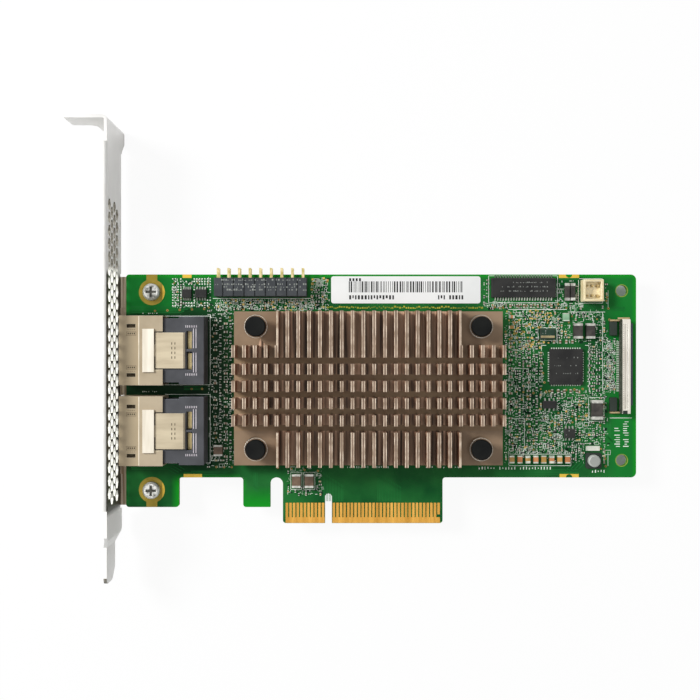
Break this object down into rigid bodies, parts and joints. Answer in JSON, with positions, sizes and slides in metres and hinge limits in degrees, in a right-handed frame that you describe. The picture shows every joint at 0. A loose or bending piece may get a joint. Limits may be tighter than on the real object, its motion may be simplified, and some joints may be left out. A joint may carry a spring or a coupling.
{
  "type": "raid controller card",
  "caption": "flat expansion card with a finned brown heat sink, cable sockets and gold edge contacts, on a tall vented metal bracket",
  "frame": {"origin": "The card's datum: the middle of the key notch, at the bottom edge of the gold fingers, on the component-side surface of the board.", "axes": "+X runs along the board from the bracket to the far end; +Y runs up the card, from the gold fingers to the top edge and the bracket's ear; +Z points out of the component side. The card lies component side up."},
  "size_m": [0.1546, 0.1247, 0.0216],
  "materials": {
    "amber_ceramic": "fired",
    "black_ceramic": "glazed top",
    "black_plastic": "satin moulded",
    "board": "green solder mask, glossy",
    "bracket_steel": "bright plated sheet",
    "brown_aluminium": "brown anodised",
    "brown_ceramic": "fired",
    "can_metal": "drawn, bright",
    "chip_black": "matt mould",
    "cream_plastic": "moulded",
    "dark_ferrite": "ferrite",
    "dark_plastic": "moulded",
    "gold": "gold plate",
    "grey_pad": "soft",
    "grey_plastic": "moulded",
    "ivory_plastic": "moulded",
    "pale_ceramic": "fired",
    "screw_steel": "plated",
    "slate_plastic": "moulded",
    "spring_steel": "drawn wire",
    "tan_metal": "plated",
    "tin_shell": "tin plate",
    "tinned": "tinned",
    "white_ceramic": "fired",
    "white_paper": "printed label"
  },
  "bodies": {
    "root": {"aux_pins": "gold", "aux_socket": "cream_plastic", "bracket": "bracket_steel", "bracket_screw_lower": "screw_steel", "bracket_screw_upper": "screw_steel", "bulk_capacitors": "brown_ceramic", "cable_cage_lower": "tin_shell", "cable_cage_upper": "tin_shell", "cable_contacts_lower": "gold", "cable_contacts_upper": "gold", "cable_housing_lower": "slate_plastic", "cable_housing_upper": "slate_plastic", "can_base": "dark_plastic", "circuit_board": "board", "clock_chip": "chip_black", "controller_chip": "chip_black", "crystal": "pale_ceramic", "edge_contacts_back": "gold", "edge_contacts_front": "gold", "flash_chip": "chip_black", "gate_chip_a": "chip_black", "gate_chip_b": "chip_black", "ground_pads": "gold", "heat_sink": "brown_aluminium", "interface_chip": "chip_black", "interface_pads": "tinned", "label": "white_paper", "memory_chip": "chip_black", "memory_leads": "tinned", "metal_can": "can_metal", "mezzanine_anchors": "tan_metal", "mezzanine_bar": "dark_plastic", "mezzanine_blocks": "dark_plastic", "mezzanine_socket": "ivory_plastic", "mezzanine_tails": "tinned", "output_capacitors": "amber_ceramic", "pin_header_body": "grey_plastic", "pin_header_pins": "gold", "power_inductors": "dark_ferrite", "push_pin_lower_left": "black_plastic", "push_pin_lower_right": "black_plastic", "push_pin_spring_lower_left": "spring_steel", "push_pin_spring_lower_right": "spring_steel", "push_pin_spring_upper_left": "spring_steel", "push_pin_spring_upper_right": "spring_steel", "push_pin_upper_left": "black_plastic", "push_pin_upper_right": "black_plastic", "regulator_chip": "chip_black", "resistor_array": "white_ceramic", "signal_capacitors": "brown_ceramic", "signal_resistors": "black_ceramic", "small_chip_leads": "tinned", "thermal_pad": "grey_pad", "underside_capacitors": "brown_ceramic"}
  },
  "joints": []
}
